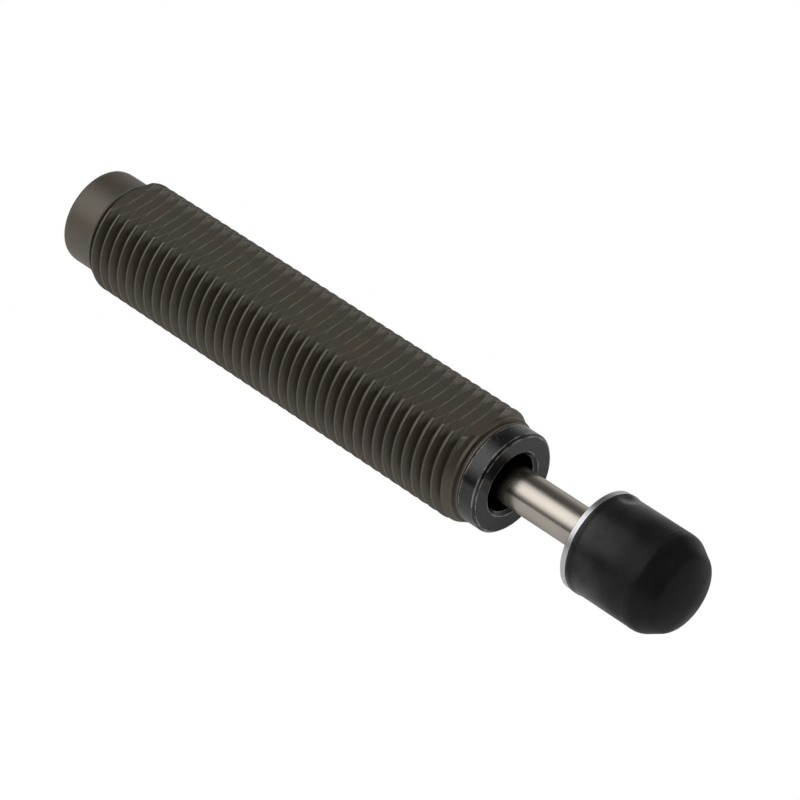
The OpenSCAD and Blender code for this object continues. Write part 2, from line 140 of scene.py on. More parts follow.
def turned(name: str, outline: Outline, steps: int) -> Piece:
    """Turns an outline about the X axis into one closed solid.

    Args:
        name: Name of the new object.
        outline: (station, radius) points in metres, in order round the section. A radius of 0 lies on
            the axis, and only the outline's two ends may lie there.
        steps: Number of stretches round the axis.

    Returns:
        The object, with faces that point outwards.
    """
    build = bmesh.new()
    rings = []
    for station, radius in outline:
        if radius <= 0:
            rings.append([build.verts.new((station, 0, 0))] * steps)
            continue
        angles = [2 * math.pi * i / steps for i in range(steps)]
        ring = [(station, radius * math.cos(angle), radius * math.sin(angle)) for angle in angles]
        rings.append([build.verts.new(point) for point in ring])
    pairs = list(zip(rings, rings[1:]))
    if outline[0][1] > 0:
        pairs.append((rings[-1], rings[0]))
    for first, second in pairs:
        for i in range(steps):
            j = (i + 1) % steps
            corners = dict.fromkeys([first[i], first[j], second[j], second[i]])
            if len(corners) > 2:
                build.faces.new(corners)
    return from_build(name, build)


def block(name: str, low: Vector, high: Vector) -> Piece:
    """Makes a plain block between two corners, in metres."""
    build = bmesh.new()
    bmesh.ops.create_cube(build, size=1)
    for vert in build.verts:
        vert.co = Vector(high[k] if vert.co[k] > 0 else low[k] for k in range(3))
    return from_build(name, build)


def applied(source: Piece, name: str) -> Piece:
    """Turns an object with modifiers into a new plain one, and removes the source.

    Args:
        source: The object whose modifiers are applied.
        name: Name of the new object.

    Returns:
        The plain object, at the origin.
    """
    graph = bpy.context.evaluated_depsgraph_get()
    mesh = bpy.data.meshes.new_from_object(source.evaluated_get(graph))
    bpy.data.objects.remove(source)
    mesh.name = name
    return add_object(name, mesh)


def carved(target: Piece, cutters: list[Piece]) -> Piece:
    """Cuts solids out of another one, and removes the cutters.

    Args:
        target: The solid that is cut.
        cutters: The solids that are taken away from it, in order.

    Returns:
        The plain object that is left, under the target's name.
    """
    for cutter in cutters:
        boolean = target.modifiers.new(cutter.name, "BOOLEAN")
        boolean.operation = "DIFFERENCE"
        boolean.solver = "MANIFOLD"
        boolean.object = cutter
    made = applied(target, target.name)
    for cutter in cutters:
        bpy.data.objects.remove(cutter)
    return made


def smoothed(piece: Piece, crease: float) -> Piece:
    """Shades a piece smoothly, with sharp edges where it bends by more than crease degrees."""
    piece.data.shade_smooth()
    piece.data.set_sharp_from_angle(angle=math.radians(crease))
    return piece


# ---- Small helpers for node trees ----


class Tree:
    """A node tree under construction, with short ways to add nodes, maths and links."""

    def __init__(self, tree: NodeTree) -> None:
        """Keeps the tree that the other methods add to."""
        self.tree = tree

    def add(self, kind: str, inputs: dict | None = None, **settings: object) -> Node:
        """Adds a node.

        Args:
            kind: The node's type name.
            inputs: Values or sockets, by the input's name or index.
            settings: The node's own properties.

        Returns:
            The new node.
        """
        node = self.tree.nodes.new(kind)
        for key, value in settings.items():
            setattr(node, key, value)
        for key, value in (inputs or {}).items():
            self.feed(node.inputs[key], value)
        return node

    def feed(self, socket: Socket, value: object) -> None:
        """Links a socket to the input, or sets the input's own value."""
        if isinstance(value, Socket):
            self.tree.links.new(value, socket)
        else:
            socket.default_value = value

    def maths(self, operation: str, *values: object, clamp: bool = False) -> Socket:
        """Adds a Math node for numbers and returns its output."""
        inputs = dict(enumerate(values))
        return self.add("ShaderNodeMath", inputs, operation=operation, use_clamp=clamp).outputs[0]

    def folded(self, operation: str, values: tuple) -> Socket:
        """Works through numbers with one Math operation, two at a time."""
        total = values[0]
        for value in values[1:]:
            total = self.maths(operation, total, value)
        return total

    def plus(self, *values: object) -> Socket:
        """Adds numbers up."""
        return self.folded("ADD", values)

    def minus(self, *values: object) -> Socket:
        """Takes the later numbers from the first."""
        return self.folded("SUBTRACT", values)

    def times(self, *values: object) -> Socket:
        """Multiplies numbers."""
        return self.folded("MULTIPLY", values)

    def over(self, *values: object) -> Socket:
        """Divides the first number by the later ones."""
        return self.folded("DIVIDE", values)

    def larger(self, *values: object) -> Socket:
        """Gives the largest number."""
        return self.folded("MAXIMUM", values)

    def apart(self, value: object, middle: float) -> Socket:
        """Gives the distance from a middle."""
        return self.maths("ABSOLUTE", self.minus(value, middle))

    def falling(self, value: object, reach: object) -> Socket:
        """Falls from 1 at 0 to 0 at reach and beyond."""
        return self.maths("SUBTRACT", 1.0, self.over(value, reach), clamp=True)

    def scaled(self, value: object, share: object) -> Socket:
        """Scales a vector or colour by a number."""
        inputs = {0: value, "Scale": share}
        return self.add("ShaderNodeVectorMath", inputs, operation="SCALE").outputs[0]

    def place(self, kind: str = "Object") -> Socket:
        """Gives a texture coordinate of this kind."""
        return self.add("ShaderNodeTexCoord").outputs[kind]

    def parts(self, value: Socket) -> list[Socket]:
        """Gives the three numbers of a vector."""
        return list(self.add("ShaderNodeSeparateXYZ", {0: value}).outputs)

    def noise(self, where: Socket, scale: object, detail: float, roughness: float = 0.5) -> Socket:
        """Adds a noise texture and returns its value."""
        inputs = {"Vector": where, "Scale": scale, "Detail": detail, "Roughness": roughness}
        return self.add("ShaderNodeTexNoise", inputs).outputs[0]

    def vector(self, operation: str, *values: object) -> Socket:
        """Adds a Vector Math node and returns its vector output."""
        return self.add("ShaderNodeVectorMath", dict(enumerate(values)), operation=operation).outputs[0]

    def ramp(self, value: object, low: float, high: float) -> Socket:
        """Adds a smooth Map Range node that takes low to 0 and high to 1, and returns its output."""
        inputs = {"Value": value, "From Min": low, "From Max": high}
        return self.add("ShaderNodeMapRange", inputs, interpolation_type="SMOOTHSTEP").outputs[0]

    def layered(self, colour: object, *layers: tuple[object, object]) -> Socket:
        """Lays colours over a colour, each by its share."""
        for share, over in layers:
            colour = self.mix(share, colour, over)
        return colour

    def mix(self, share: object, first: object, second: object) -> Socket:
        """Adds a colour Mix node and returns its output."""
        return self.add("ShaderNodeMix", {0: share, 6: first, 7: second}, data_type="RGBA").outputs[2]


class GroupKind(Enum):
    """What a node group works on."""

    SURFACE = "ShaderNodeTree"
    MESH = "GeometryNodeTree"


def new_group(
    name: str, kind: GroupKind, inputs: dict[str, tuple], outputs: dict[str, str]
) -> tuple[Tree, dict, Node]:
    """Starts a node group.

    Args:
        name: Name of the group.
        kind: What it works on.
        inputs: Socket type and default value by input name. A type of geometry has no default.
        outputs: Socket type by output name.

    Returns:
        The tree, its input sockets by name, and its output node.
    """
    group = bpy.data.node_groups.new(name, kind.value)
    for label, (socket_type, default) in inputs.items():
        socket = group.interface.new_socket(label, in_out="INPUT", socket_type=socket_type)
        if default is not None:
            socket.default_value = default
    for label, socket_type in outputs.items():
        group.interface.new_socket(label, in_out="OUTPUT", socket_type=socket_type)
    source = group.nodes.new("NodeGroupInput")
    sink = group.nodes.new("NodeGroupOutput")
    return Tree(group), {label: source.outputs[label] for label in inputs}, sink


def placed(tree: Tree, group: NodeTree, **values: object) -> Node:
    """Puts a node group into a shader tree.

    Args:
        tree: The tree that gets it.
        group: The group.
        values: Its inputs by name, with spaces written as underscores.

    Returns:
        The group's node.
    """
    node = tree.add("ShaderNodeGroup")
    node.node_tree = group
    for label, value in values.items():
        tree.feed(node.inputs[label.replace("_", " ")], value)
    return node


# ---- Surface effects that several finishes share ----

NUMBER = "NodeSocketFloat"


def effect_group(name: str, inputs: dict[str, float], *outputs: str) -> tuple[Tree, dict, Node]:
    """Starts a shader node group whose sockets are all numbers."""
    given = {label: (NUMBER, value) for label, value in inputs.items()}
    return new_group(name, GroupKind.SURFACE, given, dict.fromkeys(outputs, NUMBER))


class Effects:
    """The shader node groups, each built once."""

    def __init__(self) -> None:
        """Builds the groups in the order in which they use each other."""
        self.place = self.build_place()
        self.rim = self.build_rim()
        self.lathe = self.build_lathe()
        self.grain = self.build_grain()
        self.scratch = self.build_scratch()

    @staticmethod
    def build_place() -> NodeTree:
        """Gives the station along the axis, and the radius and height from it, in millimetres."""
        tree, _, sink = effect_group("axial_place", {}, "Station", "Radius", "Height")
        parts = tree.parts(tree.place())
        square = tree.plus(tree.times(parts[1], parts[1]), tree.times(parts[2], parts[2]))
        tree.feed(sink.inputs["Station"], tree.over(parts[0], MM))
        tree.feed(sink.inputs["Radius"], tree.over(tree.maths("SQRT", square), MM))
        tree.feed(sink.inputs["Height"], tree.over(parts[2], MM))
        return tree.tree

    @staticmethod
    def build_rim() -> NodeTree:
        """Gives a mask along one turned edge, broken up as wear is. It marks edge wear and painted edge
        highlight.
        """
        sizes = {"Station": 0.0, "Radius": 0.0, "Rim Station": 0.0, "Rim Radius": 1.0}
        tree, given, sink = effect_group("rim_wear_and_highlight", {**sizes, "Width": 0.1, "Breaks": 0.5}, "Mask")
        along = tree.minus(given["Station"], given["Rim Station"])
        across = tree.minus(given["Radius"], given["Rim Radius"])
        far = tree.maths("SQRT", tree.plus(tree.times(along, along), tree.times(across, across)))
        noise = tree.noise(tree.place(), 900.0, 3.0)
        share = tree.times(tree.ramp(noise, 0.35, 0.65), given["Breaks"])
        reach = tree.times(given["Width"], tree.minus(1.0, share))
        line = tree.falling(far, tree.larger(reach, 0.001))
        tree.feed(sink.inputs["Mask"], tree.maths("POWER", line, 0.6))
        return tree.tree

    def build_lathe(self) -> NodeTree:
        """Gives the fine rings that a turning or grinding tool leaves round the axis."""
        tree, given, sink = effect_group("tool_marks", {"Feed": 0.1, "Waver": 0.3}, "Height")
        place = placed(tree, self.place)
        moved = tree.times(tree.noise(tree.place(), 260.0, 2.0), given["Waver"])
        pair = tree.add(
            "ShaderNodeCombineXYZ",
            {
                0: tree.plus(tree.over(place.outputs["Station"], given["Feed"]), moved),
                1: tree.over(place.outputs["Radius"], given["Feed"]),
                2: moved,
            },
        ).outputs[0]
        tree.feed(sink.inputs["Height"], tree.noise(pair, 1.0, 3.0, 0.6))
        return tree.tree

    @staticmethod
    def build_grain() -> NodeTree:
        """Gives a fine speckled grain with slow patches under it."""
        scales = {"Grain Scale": 6000.0, "Patch Scale": 150.0}
        tree, given, sink = effect_group("surface_grain", scales, "Grain", "Patch", "Speck")
        coordinates = tree.place()
        patch = tree.noise(coordinates, given["Patch Scale"], 3.0)
        spot_scale = tree.times(given["Grain Scale"], 0.3)
        spot = tree.add("ShaderNodeTexVoronoi", {"Vector": coordinates, "Scale": spot_scale})
        tree.feed(sink.inputs["Grain"], tree.noise(coordinates, given["Grain Scale"], 4.0))
        tree.feed(sink.inputs["Patch"], tree.ramp(patch, 0.3, 0.7))
        tree.feed(sink.inputs["Speck"], tree.ramp(spot.outputs["Distance"], 0.16, 0.04))
        return tree.tree

    @staticmethod
    def build_scratch() -> NodeTree:
        """Gives thin stray scratches in a few directions, each only where it runs along the surface."""
        tree, given, sink = effect_group("stray_scratches", {"Scale": 400.0, "Thinness": 0.02}, "Mask")
        coordinates = tree.place()
        normal = tree.place("Normal")
        lines = []
        for turn in ((0.3, 0.9, 0.2), (1.4, -0.5, 0.8), (-0.6, 0.4, 2.1), (0.1, 0.2, 1.4)):
            turned = tree.add("ShaderNodeMapping", {"Vector": coordinates, "Rotation": turn}).outputs[0]
            drawn = tree.vector("MULTIPLY", turned, (1.0, 0.05, 1.0))
            noise = tree.noise(drawn, given["Scale"], 1.0)
            thin = tree.falling(tree.apart(noise, 0.5), given["Thinness"])
            way = tuple(Euler(turn).to_matrix()[1])
            lean = tree.add("ShaderNodeVectorMath", {0: normal, 1: way}, operation="DOT_PRODUCT").outputs[1]
            lines.append(tree.times(thin, tree.ramp(tree.maths("ABSOLUTE", lean), 0.5, 0.2)))
        cover = tree.ramp(tree.noise(coordinates, 330.0, 2.0), 0.52, 0.66)
        tree.feed(sink.inputs["Mask"], tree.times(tree.larger(*lines), cover))
        return tree.tree


EFFECTS = Effects()

Colour = tuple[float, float, float]
Rims = tuple[tuple[float, float], ...]


class Dressing:
    """A material under construction: its tree, its shader and where it is on the piece."""

    def __init__(self, name: str, tint: Colour, **sockets: float) -> None:
        """Starts a material.

        Args:
            name: Name of the material.
            tint: Colour that the viewport shows.
            sockets: Even values for the shader's own inputs, with spaces written as underscores.
        """
        self.material = bpy.data.materials.new(name)
        self.material.use_nodes = True
        self.material.diffuse_color = (*tint, 1)
        self.tree = Tree(self.material.node_tree)
        self.shader = self.material.node_tree.nodes["Principled BSDF"]
        for label, value in sockets.items():
            self.shader.inputs[label.replace("_", " ")].default_value = value
        self.place = placed(self.tree, EFFECTS.place)

    def rims(self, rims: Rims, width: float, breaks: float) -> Socket:
        """Joins the masks of several turned edges, for edge wear and painted edge highlight.

        Args:
            rims: Station and radius of each edge, in millimetres.
            width: Reach of the wear from the edge, in millimetres.
            breaks: Share of the width that is lost where the wear breaks up.

        Returns:
            The joined mask.
        """
        place = self.place.outputs
        near = {"Station": place["Station"], "Radius": place["Radius"], "Width": width, "Breaks": breaks}
        masks = [
            placed(self.tree, EFFECTS.rim, Rim_Station=station, Rim_Radius=radius, **near).outputs[0]
            for station, radius in rims
        ]
        return self.tree.larger(*masks)

    def finished(self, colour: Socket, roughness: Socket, height: Socket, depth: float) -> Material:
        """Feeds the shader.

        Args:
            colour: The base colour.
            roughness: The roughness.
            height: The relief, from 0 to 1.
            depth: Height of a full relief, in millimetres.

        Returns:
            The material.
        """
        bump = self.tree.add("ShaderNodeBump", {"Height": height, "Strength": 1.0, "Distance": depth * MM})
        feeds = {"Base Color": colour, "Roughness": roughness, "Normal": bump.outputs[0]}
        for label, value in feeds.items():
            self.tree.feed(self.shader.inputs[label], value)
        return self.material


def rgba(tint: Colour, share: float = 1.0) -> tuple[float, float, float, float]:
    """Widens a colour to four channels, scaled by share."""
    return (tint[0] * share, tint[1] * share, tint[2] * share, 1.0)


def between(tree: Tree, share: object, low: float, high: float) -> Socket:
    """Runs from low to high as share goes from 0 to 1."""
    return tree.plus(tree.times(share, high - low), low)


# ---- Finishes ----


@dataclass(frozen=True)
class MachinedMetal:
    """Turned or ground metal with tool marks, grain, stray scratches and bright edge lines that are wear and
    painted highlight.
    """

    tint: Colour
    roughness: float = 0.3
    metallic: float = 1.0
    feed: float = 0.08
    marks: float = 0.0004
    variation: float = 0.12
    wear: Colour = (0.7, 0.69, 0.67)
    wear_width: float = 0.08
    rims: Rims = ()
    worn_roughness: float = 0.28
    painted_shade_roughness: float = 0.15
    scratches: float = 0.4
    edge: Colour = (1.0, 1.0, 1.0)
    # Dark tone laid over a span of stations, full at the first and gone at the second, with extra roughness:
    # painted shade.
    painted_shade: Colour = (0.05, 0.04, 0.03)
    painted_shade_span: tuple[float, float] | None = None
    streaks: float = 0.0

    def material(self, name: str) -> Material:
        """Builds the material under the given name."""
        dressing = Dressing(name, self.tint, Metallic=self.metallic, Specular_Tint=rgba(self.edge))
        tree = dressing.tree
        lathe = placed(tree, EFFECTS.lathe, Feed=self.feed, Waver=0.4).outputs["Height"]
        grain = placed(tree, EFFECTS.grain, Grain_Scale=7000.0, Patch_Scale=190.0).outputs
        scratch = placed(tree, EFFECTS.scratch, Scale=420.0, Thinness=0.014).outputs["Mask"]
        share = tree.plus(tree.times(grain["Patch"], 0.55), tree.times(lathe, 0.45))
        low, high = 1 - self.variation, 1 + self.variation
        colour = tree.mix(share, rgba(self.tint, low), rgba(self.tint, high))
        colour = tree.layered(colour, (tree.times(scratch, self.scratches), rgba(self.wear)))
        rough = between(tree, share, self.roughness * 0.85, self.roughness * 1.15)
        if self.rims:
            wear_and_edge_highlight = dressing.rims(self.rims, self.wear_width, 0.5)
            colour = tree.mix(wear_and_edge_highlight, colour, rgba(self.wear))
            rough = tree.plus(tree.times(wear_and_edge_highlight, self.worn_roughness - self.roughness), rough)
        # Painted shade: the metal darkens towards the lower station, with a ragged edge, and turns rougher
        # there.
        if self.painted_shade_span:
            ragged = tree.plus(dressing.place.outputs["Station"], tree.times(grain["Patch"], 0.9))
            shade_share = tree.ramp(ragged, self.painted_shade_span[1], self.painted_shade_span[0])
            colour = tree.mix(shade_share, colour, rgba(self.painted_shade))
            rough = tree.plus(tree.times(shade_share, self.painted_shade_roughness), rough)
        height = tree.plus(lathe, tree.times(grain["Grain"], 0.35))
        if self.streaks:
            height = tree.plus(height, tree.times(self.drawn(tree), self.streaks / self.marks))
        return dressing.finished(colour, rough, height, self.marks)

    @staticmethod
    def drawn(tree: Tree) -> Socket:
        """Gives fine streaks that run lengthwise."""
        place = tree.add("ShaderNodeMapping", {"Vector": tree.place(), "Scale": (0.05, 1.0, 1.0)}).outputs[0]
        return tree.noise(place, 2200.0, 2.0)


@dataclass(frozen=True)
class OxideSteel:
    """Steel under a dark oxide skin: glossy, with bright edge lines that are wear and painted highlight, and
    faint stray scratches.
    """

    tint: Colour
    roughness: float
    rims: Rims
    wear: Colour = (0.45, 0.44, 0.42)
    wear_width: float = 0.15
    scratches: float = 0.08
    specks: float = 0.5
    marks: float = 0.0006

    def material(self, name: str) -> Material:
        """Builds the material under the given name."""
        dressing = Dressing(name, self.tint, IOR=1.65)
        tree = dressing.tree
        lathe = placed(tree, EFFECTS.lathe, Feed=0.07, Waver=0.5).outputs["Height"]
        grain = placed(tree, EFFECTS.grain, Grain_Scale=8000.0, Patch_Scale=420.0).outputs
        scratch = placed(tree, EFFECTS.scratch, Scale=800.0, Thinness=0.02).outputs["Mask"]
        colour = tree.mix(grain["Patch"], rgba(self.tint, 0.75), rgba(self.tint, 1.35))
        specks = tree.times(grain["Speck"], self.specks)
        pale = tree.larger(specks, tree.times(scratch, self.scratches))
        wear_and_edge_highlight = tree.larger(pale, dressing.rims(self.rims, self.wear_width, 0.9))
        tree.feed(dressing.shader.inputs["Metallic"], tree.times(wear_and_edge_highlight, 0.3))
        satin = tree.times(lathe, grain["Patch"])
        rough = between(tree, satin, self.roughness * 0.8, self.roughness * 1.5)
        height = tree.plus(lathe, tree.times(grain["Grain"], 0.4))
        return dressing.finished(tree.mix(wear_and_edge_highlight, colour, rgba(self.wear)), rough, height, self.marks)


@dataclass(frozen=True)
class PhosphatedThread:
    """The body's brown-grey phosphate skin: rusty grooves darkened with depth as painted shade, rubbed
    crests, pale burr lines, painted highlight on the groove walls that face the nose, and mottled flats.
    """

    skin: Colour = (0.101, 0.09, 0.07)
    olive: Colour = (0.088, 0.093, 0.058)
    rust: Colour = (0.145, 0.085, 0.06)
    # Rusty brown of the grooves, made dark to stand in for the shade deep in them: painted shade.
    groove: Colour = (0.066, 0.046, 0.029)
    crest: Colour = (0.094, 0.089, 0.078)
    # Pale bare metal of the burr lines and worn rims, also used as painted highlight on the groove walls that
    # face the nose.
    bare_metal_and_highlight: Colour = (0.29, 0.27, 0.23)
    sheen: Colour = (1.0, 0.9, 0.79)
    rusting: float = 0.42
    edge_wear_and_highlight: float = 0.4
    marks: float = 0.0016
    ior: float = 1.9
    crest_radius: float = 7.0
    root_radius: float = 6.08
    flat_height: float = 6.125
    shoulder: float = -62.65
    nose: float = -3.95
    rims: Rims = ()

    def material(self, name: str) -> Material:
        """Builds the material under the given name."""
        dressing = Dressing(name, self.skin, IOR=self.ior, Specular_Tint=rgba(self.sheen))
        tree = dressing.tree
        place = dressing.place.outputs
        facing = tree.parts(tree.place("Normal"))[0]
        height = tree.maths("ABSOLUTE", place["Height"])
        grain = placed(tree, EFFECTS.grain, Grain_Scale=4300.0, Patch_Scale=85.0).outputs
        lathe = placed(tree, EFFECTS.lathe, Feed=0.09, Waver=0.8).outputs["Height"]
        blotch = placed(tree, EFFECTS.grain, Grain_Scale=1500.0, Patch_Scale=240.0).outputs
        station, radius = place["Station"], place["Radius"]
        crest, below_crest = self.crest_radius, self.crest_radius - 0.25
        threaded = tree.ramp(station, self.shoulder - 0.05, self.shoulder + 0.15)
        # Painted shade: the groove colour takes over towards the thread's root.
        groove_shade = tree.times(tree.ramp(radius, below_crest, self.root_radius + 0.1), threaded)
        off_flat = self.sunk(tree, height, 0.004, 0.012)
        front_wall = tree.ramp(facing, 0.15, 0.4)
        run_in = tree.ramp(station, self.shoulder + 1.1, self.shoulder + 1.4)
        run = tree.times(run_in, tree.ramp(station, self.nose + 0.1, self.nose - 0.2))
        below = tree.times(off_flat, run, tree.ramp(radius, crest - 0.05, below_crest))
        edge_line = tree.times(self.sunk(tree, height, 0.25, 0.1), tree.ramp(facing, -0.35, -0.1))
        # Painted highlight: near the wrench flats, groove walls that face the nose and their rims just under
        # the flat are made pale where the light does not reach them.
        painted_wall_highlight = tree.times(front_wall, self.sunk(tree, height, 1.2, 0.4))
        painted_rim_highlight = tree.times(front_wall, self.sunk(tree, height, 0.2, 0.08))
        ragged = tree.plus(radius, tree.times(blotch["Grain"], 0.08))
        rubbed = tree.times(tree.ramp(ragged, crest - 0.07, crest + 0.04), self.sunk(tree, height, 0.1, 0.7))
        wear_and_edge_highlight = tree.times(dressing.rims(self.rims, 0.15, 0.5), self.edge_wear_and_highlight)
        colour = tree.layered(
            tree.mix(grain["Patch"], rgba(self.skin), rgba(self.olive)),
            (tree.times(blotch["Patch"], self.rusting), rgba(self.rust)),
            # Painted shade in the grooves.
            (tree.times(groove_shade, self.sunk(tree, height, 0.25, 0.8)), rgba(self.groove)),
            (tree.times(edge_line, below), rgba(self.bare_metal_and_highlight)),
            # Painted highlight on the groove walls that face the nose.
            (tree.times(painted_wall_highlight, below), rgba(self.bare_metal_and_highlight, 1.25)),
            (tree.times(painted_rim_highlight, tree.times(off_flat, run)), rgba(self.bare_metal_and_highlight, 1.5)),
            (rubbed, rgba(self.crest)),
            (wear_and_edge_highlight, rgba(self.bare_metal_and_highlight)),
        )
        fine = between(tree, grain["Grain"], 0.72, 1.28)
        rough = between(tree, grain["Patch"], 0.4, 0.48)
        rough = tree.minus(rough, tree.times(wear_and_edge_highlight, 0.1))
        height = tree.plus(grain["Grain"], tree.times(lathe, 0.5))
        return dressing.finished(tree.scaled(colour, fine), rough, height, self.marks)

    def sunk(self, tree: Tree, height: Socket, none: float, full: float) -> Socket:
        """Runs from 0 to 1 between two depths below the wrench flat, in millimetres."""
        return tree.ramp(height, self.flat_height - none, self.flat_height - full)


@dataclass(frozen=True)
class MouldedElastomer:
    """Moulded rubber, polyurethane or filled plastic: dark satin with a fine grain and faint smears."""

    tint: Colour = (0.008, 0.008, 0.008)
    smear: Colour = (0.022, 0.022, 0.023)
    roughness: float = 0.42
    grain: float = 0.002
    waves: float = 0.0
    ior: float = 1.5
    polished: tuple[float, float] | None = None
    polish_roughness: float = 0.32
    polish_ior: float = 1.4

    def material(self, name: str) -> Material:
        """Builds the material under the given name."""
        dressing = Dressing(name, self.tint, IOR=self.ior)
        tree = dressing.tree
        grain = placed(tree, EFFECTS.grain, Grain_Scale=3800.0, Patch_Scale=330.0).outputs
        scratch = placed(tree, EFFECTS.scratch, Scale=300.0, Thinness=0.02).outputs["Mask"]
        colour = tree.layered(
            tree.mix(grain["Patch"], rgba(self.tint), rgba(self.smear, 0.6)),
            (tree.times(scratch, 0.45), rgba(self.smear)),
            (tree.times(grain["Speck"], 0.3), rgba(self.smear)),
        )
        rough = between(tree, grain["Patch"], self.roughness * 0.75, self.roughness * 1.3)
        if self.polished:
            fade = tree.ramp(dressing.place.outputs["Station"], self.polished[1], self.polished[0])
            patchy = tree.times(fade, between(tree, grain["Patch"], 0.4, 1.0))
            tree.feed(dressing.shader.inputs["Coat Weight"], patchy)
            dressing.shader.inputs["Coat Roughness"].default_value = self.polish_roughness
            dressing.shader.inputs["Coat IOR"].default_value = self.polish_ior
        wave = tree.noise(tree.place(), 210.0, 1.0)
        swell = tree.times(wave, self.waves / self.grain)
        return dressing.finished(colour, rough, tree.plus(grain["Grain"], swell), self.grain)


Finish = MachinedMetal | OxideSteel | PhosphatedThread | MouldedElastomer


def dressed(piece: Piece, finish: Finish) -> Piece:
    """Gives a piece a material of its own in this finish, in all its slots.

    Args:
        piece: A new piece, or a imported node's object.
        finish: The finish.

    Returns:
        The piece.
    """
    material = finish.material(f"{piece.name}_finish")
    if not piece.material_slots:
        piece.data.materials.append(material)
    for place in piece.material_slots:
        place.material = material
    return piece


def dressed_nodes(finishes: dict[str, Finish]) -> list[Piece]:
    """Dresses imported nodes, each in the finish under its name."""
    return [dressed(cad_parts[name], finish) for name, finish in finishes.items()]


# ---- The winding that makes the thread's groove and the spring ----


def live(sockets: Iterable[Socket], name: str) -> Socket:
    """Finds the enabled one among the sockets of this name."""
    return next(socket for socket in sockets if socket.name == name and socket.enabled)


def build_winding() -> NodeTree:
    """Builds the tree that winds a closed section about the X axis.

    Returns:
        The geometry node group. Its section is the modified object's own mesh, whose vertices run in
        order round the section, with the station offset in X and the radius in Y.
    """
    whole = "NodeSocketInt"
    tree, given, sink = new_group(
        "winding",
        GroupKind.MESH,
        {
            "Section": ("NodeSocketGeometry", None),
            "Section Points": (whole, 8),
            "Turns": (NUMBER, 10.0),
            "Steps per Turn": (whole, 24),
            "Start": (NUMBER, 0.0),
            "Pitch": (NUMBER, 0.001),
            "End Pitch": (NUMBER, 0.001),
            "Run-out": (NUMBER, 0.0),
            "Lift": (NUMBER, 0.0),
            "Finish": ("NodeSocketMaterial", None),
        },
        {"Geometry": "NodeSocketGeometry"},
    )
    steps = given["Steps per Turn"]
    points = given["Section Points"]
    rows = tree.plus(tree.maths("ROUND", tree.times(given["Turns"], steps)), 3.0)
    columns = tree.plus(points, 1.0)
    grid = tree.add("GeometryNodeMeshGrid", {"Vertices X": rows, "Vertices Y": columns})
    index = tree.add("GeometryNodeInputIndex").outputs[0]
    row = tree.maths("FLOOR", tree.over(index, columns))
    column = tree.maths("MODULO", tree.maths("MODULO", index, columns), points)
    last = tree.minus(rows, 1.0)
    inner = tree.maths("MINIMUM", tree.larger(tree.minus(row, 1.0), 0.0), tree.minus(rows, 3.0))
    turn = tree.over(inner, steps)
    at_end = tree.plus(tree.maths("COMPARE", row, 0.0, 0.1), tree.maths("COMPARE", row, last, 0.1))
    size = tree.minus(1.0, at_end)

    position = tree.add("GeometryNodeInputPosition").outputs[0]
    sample = tree.add(
        "GeometryNodeSampleIndex", {"Geometry": given["Section"], "Index": column}, data_type="FLOAT_VECTOR"
    )
    tree.feed(live(sample.inputs, "Value"), position)
    middle = tree.add("GeometryNodeAttributeStatistic", {0: given["Section"]}, data_type="FLOAT_VECTOR")
    tree.feed(live(middle.inputs, "Attribute"), position)
    mean = live(middle.outputs, "Mean")
    offset = tree.scaled(tree.vector("SUBTRACT", live(sample.outputs, "Value"), mean), size)
    section = tree.parts(tree.vector("ADD", offset, mean))

    late = tree.larger(tree.minus(turn, tree.minus(given["Turns"], 1.0)), 0.0)
    ends = tree.plus(tree.maths("MINIMUM", turn, 1.0), late)
    opened = tree.minus(turn, ends)
    rise = tree.plus(tree.times(ends, given["End Pitch"]), tree.times(opened, given["Pitch"]))
    station = tree.plus(rise, given["Start"], section[0])
    left = tree.minus(given["Turns"], turn)
    out = tree.falling(left, tree.larger(given["Run-out"], 0.0001))
    radius = tree.plus(tree.times(out, given["Lift"]), section[1])
    angle = tree.times(turn, 2 * math.pi)
    side = tree.times(tree.maths("SINE", angle), radius, -1.0)
    up = tree.times(tree.maths("COSINE", angle), radius)
    where = tree.add("ShaderNodeCombineXYZ", {0: station, 1: side, 2: up}).outputs[0]

    moved = {"Geometry": grid.outputs["Mesh"], "Position": where}
    wound = tree.add("GeometryNodeSetPosition", moved).outputs[0]
    weld = {"Geometry": wound, "Distance": 0.0000005}
    closed = tree.add("GeometryNodeMergeByDistance", weld).outputs[0]
    whole_mesh = tree.add("GeometryNodeRealizeInstances", {"Geometry": closed}).outputs[0]
    finished = tree.add("GeometryNodeSetMaterial", {"Geometry": whole_mesh, "Material": given["Finish"]})
    tree.feed(sink.inputs["Geometry"], finished.outputs[0])
    return tree.tree


